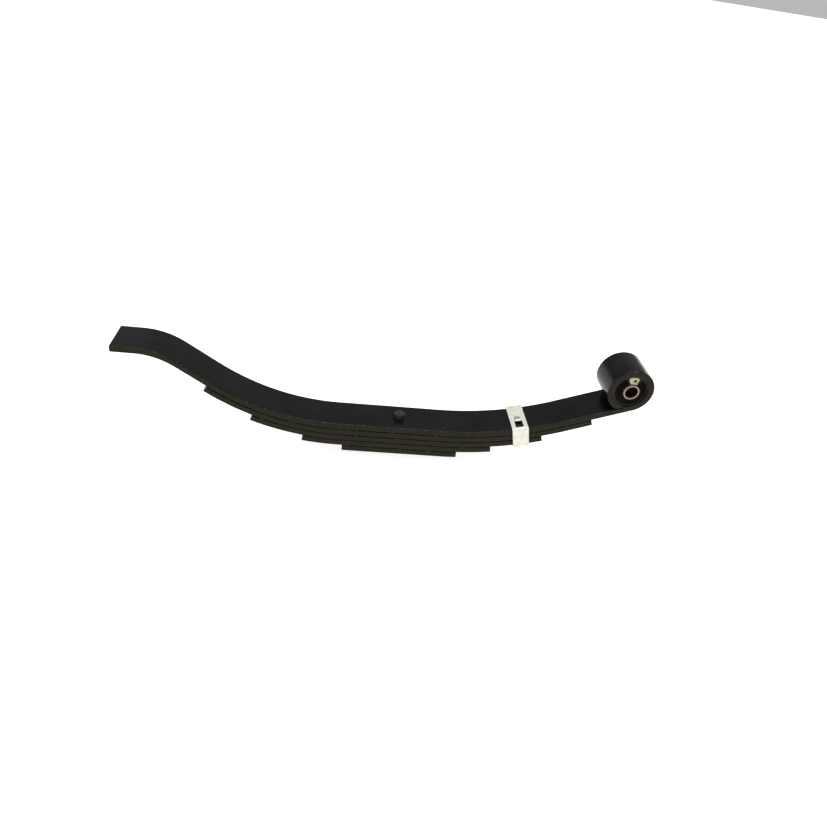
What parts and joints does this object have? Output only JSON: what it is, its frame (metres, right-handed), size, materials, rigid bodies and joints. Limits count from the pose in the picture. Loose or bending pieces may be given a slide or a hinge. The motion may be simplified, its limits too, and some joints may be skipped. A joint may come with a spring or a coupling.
{
  "type": "leaf spring",
  "caption": "Slipper leaf spring pack with a bushed rolled eye at one end, a plain reversed slipper end at the other, a centre bolt and a rebound clip.",
  "frame": {"origin": "on the centre bolt's axis at the main leaf's top face, where the bolt's round head stands", "axes": "+X along the spring towards the eye, +Y across the leaves along the eye's axis, +Z square to the flat seat, away from the short leaves"},
  "size_m": [0.6615, 0.056, 0.1642],
  "materials": {
    "leaf_paint": "semi-gloss black paint over spring steel",
    "bolt_steel": "black paint over forged steel",
    "clip_zinc": "bright zinc plate on sheet steel",
    "shell_steel": "oiled dark steel tube",
    "bush_rubber": "moulded rubber",
    "sleeve_steel": "turned steel with a light tarnish"
  },
  "bodies": {
    "seat": {"main_leaf_seat": "leaf_paint", "second_leaf_seat": "leaf_paint", "third_leaf_seat": "leaf_paint", "fourth_leaf": "leaf_paint", "fifth_leaf": "leaf_paint", "centre_bolt": "bolt_steel", "centre_nut": "bolt_steel"},
    "eye_arm": {"main_leaf_eye_arm": "leaf_paint", "second_leaf_eye_arm": "leaf_paint", "third_leaf_eye_arm": "leaf_paint", "rebound_clip": "clip_zinc", "bush_shell": "shell_steel", "bush_rubber": "bush_rubber"},
    "slipper_arm": {"main_leaf_slipper_arm": "leaf_paint", "second_leaf_slipper_arm": "leaf_paint", "third_leaf_slipper_arm": "leaf_paint"},
    "bush_sleeve": {"bush_sleeve": "sleeve_steel"}
  },
  "joints": [
    {"name": "eye_arm_flex", "type": "hinge", "parent": "seat", "child": "eye_arm", "pos_m": [0.12895, 0, -0.01888], "axis": [0, 1, 0], "range_deg": [0, 14], "stiffness_Nm_per_rad": 3900},
    {"name": "slipper_arm_flex", "type": "hinge", "parent": "seat", "child": "slipper_arm", "pos_m": [-0.12904, 0, -0.0207], "axis": [0, -1, 0], "range_deg": [0, 14], "stiffness_Nm_per_rad": 3900},
    {"name": "bush_twist", "type": "hinge", "parent": "eye_arm", "child": "bush_sleeve", "pos_m": [0.28465, 0, 0.08211], "axis": [0, 1, 0], "range_deg": [-20, 20], "stiffness_Nm_per_rad": 15}
  ]
}
